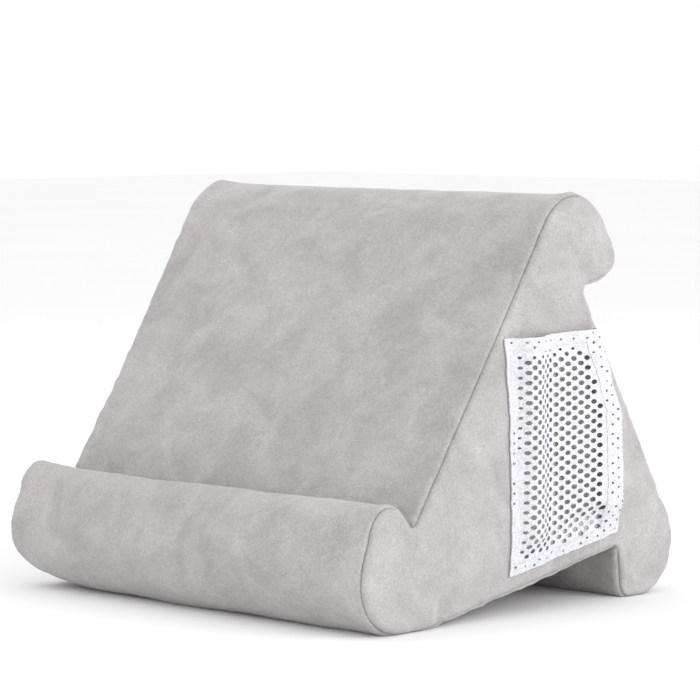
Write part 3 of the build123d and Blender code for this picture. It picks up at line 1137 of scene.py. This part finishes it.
def care_label():
    """A blank satin label, sewn flat along one edge, with its free edge a little lifted."""
    low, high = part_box("care_label")
    middle = (low + high) / 2
    label, shape = flat_sheet("blank_label", 36, 20)
    length, width = high.x - low.x, math.hypot(high.y - low.y, high.z - low.z) - 0.2 * MM
    points = []
    for a, b, _ in shape:
        place = middle + Vector((a * length, 0, 0)) + zip_front * (b * width)
        curl = (
            label_curl * max(0, b + 0.1) ** 2 * (1 + 0.8 * a)
            + 0.15 * MM * soft_noise((a, b, 0.3), 0.3)
        )
        points.append(onto_skin(place, zip_out) + zip_out * (label_gap + max(0, curl)))
    put_points(label, points)
    thicken(label, label_thickness)
    outwards(label)
    dress(label, STAND, "label", satin, "care_label")


# ---- the cover's panels

cover, rows, columns = cover_form()
fill_with_air(cover, sewn_points(rows, columns))
put_points(cover, settled(points_of(cover)))
foam_block(cover)
finish_with(cover, "SUBSURF", levels=1, render_levels=1)
soften_cover(cover)
skin = BVHTree.FromPolygons([Vector(p) for p in points_of(cover)], faces_of(cover))

panel_names = {
    FACE: ("face_panel", "cover_face_panel"),
    BACK: ("back_panel", "cover_back_panel"),
    FRONT: ("front_roll_panel", "cover_front_panel"),
    STRIP: ("zip_strip_panel", "cover_zip_strip"),
    LEFT: ("left_side_panel", "cover_side_left"),
    RIGHT: ("right_side_panel", "cover_side_right"),
}
for number, (name, node) in panel_names.items():
    panel = part_by_cut(cover, number, name)
    finish_with(panel, "SOLIDIFY", thickness=cloth_thickness, offset=-1.0, use_even_offset=False)
    put_points(panel, above_floor(points_of(panel)))
    dress(panel, STAND, "velvet", plush, node, crease=70)
bpy.data.objects.remove(cover)


# ---- seams, pocket and zip

seam_stitch = stitch_model(seam_stitch_size)
side_seam_stitches(-1, "side_seam_stitches_left", "side_seam_thread_left", seam_stitch)
side_seam_stitches(1, "side_seam_stitches_right", "side_seam_thread_right", seam_stitch)
notch_lines = [
    (cross_seam(row)[4:-4], Vector((0, *walk.out(row))))
    for row in (front_row, hook_row, under_row)
]
straight_stitches("notch_stitches", "notch_seam_thread", seam_stitch, notch_lines, 3 * MM)
straight_stitches("zip_stitches", "zip_thread", seam_stitch, zip_stitch_lines(), 6 * MM)
pocket_stitch = stitch_model(pocket_stitch_size)
net_pocket()
pocket_stitches(pocket_stitch)
mouth_elastic()
zip_tape(1, "zip_tape_front_side", "zip_tape_front")
zip_tape(-1, "zip_tape_rear_side", "zip_tape_rear")
loop = coil_loop()
zip_coil(1, "coil_front_side", "zip_coil_front", loop)
zip_coil(-1, "coil_rear_side", "zip_coil_rear", loop)
care_label()
for model in (seam_stitch, pocket_stitch, loop):
    bpy.data.objects.remove(model)
for node in ("zip_slider", "zip_pull", "zip_top_stops", "zip_bottom_stop"):
    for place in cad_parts[node].material_slots:
        place.material = plated


# ---- floor, light and camera

floor_size = 14
world_light = 1.0
window_watts, front_watts = 19, 4.0
camera_place = (1.4099, -1.4385, 0.2997)
camera_turn = (math.radians(85.553), 0, math.radians(44.369))
camera_lens = 174.86
camera_sensor = 36


def soft_panel(name, place, target, side, power):
    """A square soft light that faces a target."""
    lamp = bpy.data.lights.new(name, "AREA")
    lamp.shape = "RECTANGLE"
    lamp.size, lamp.size_y = side, side
    lamp.energy = power
    light = bpy.data.objects.new(name, lamp)
    light.location = place
    light.rotation_euler = (Vector(target) - Vector(place)).to_track_quat("-Z", "Y").to_euler()
    bpy.context.scene.collection.objects.link(light)


def pale_floor():
    deselect_all()
    bpy.ops.mesh.primitive_plane_add(size=floor_size, location=(0, 0, 0))
    floor = bpy.context.object
    floor.name = "studio_floor"
    make = Finish("floor_paper", 0.9, Specular_IOR_Level=0.1)
    make.feed(
        make.shader,
        Base_Color=make.ramp(make.noise(0.4), (0.3, grey(0.94)), (0.7, grey(0.96))),
    )
    floor.data.materials.append(make.material)


pale_floor()
world = bpy.data.worlds.new("studio")
world.use_nodes = True
world.node_tree.nodes["Background"].inputs["Color"].default_value = (1, 1, 1, 1)
world.node_tree.nodes["Background"].inputs["Strength"].default_value = world_light
bpy.context.scene.world = world
bpy.context.scene.view_settings.view_transform = "Standard"
soft_panel("window_light", (1.95, 0.75, 0.85), (0, 0, 0.1), 1.3, window_watts)
soft_panel("front_light", (-0.8, -0.4, 1.6), (0, 0, 0.15), 1.1, front_watts)

lens = bpy.data.cameras.new("camera")
lens.sensor_width = camera_sensor
lens.lens = camera_lens
camera = bpy.data.objects.new("camera", lens)
camera.location = camera_place
camera.rotation_euler = camera_turn
bpy.context.scene.collection.objects.link(camera)
bpy.context.scene.camera = camera
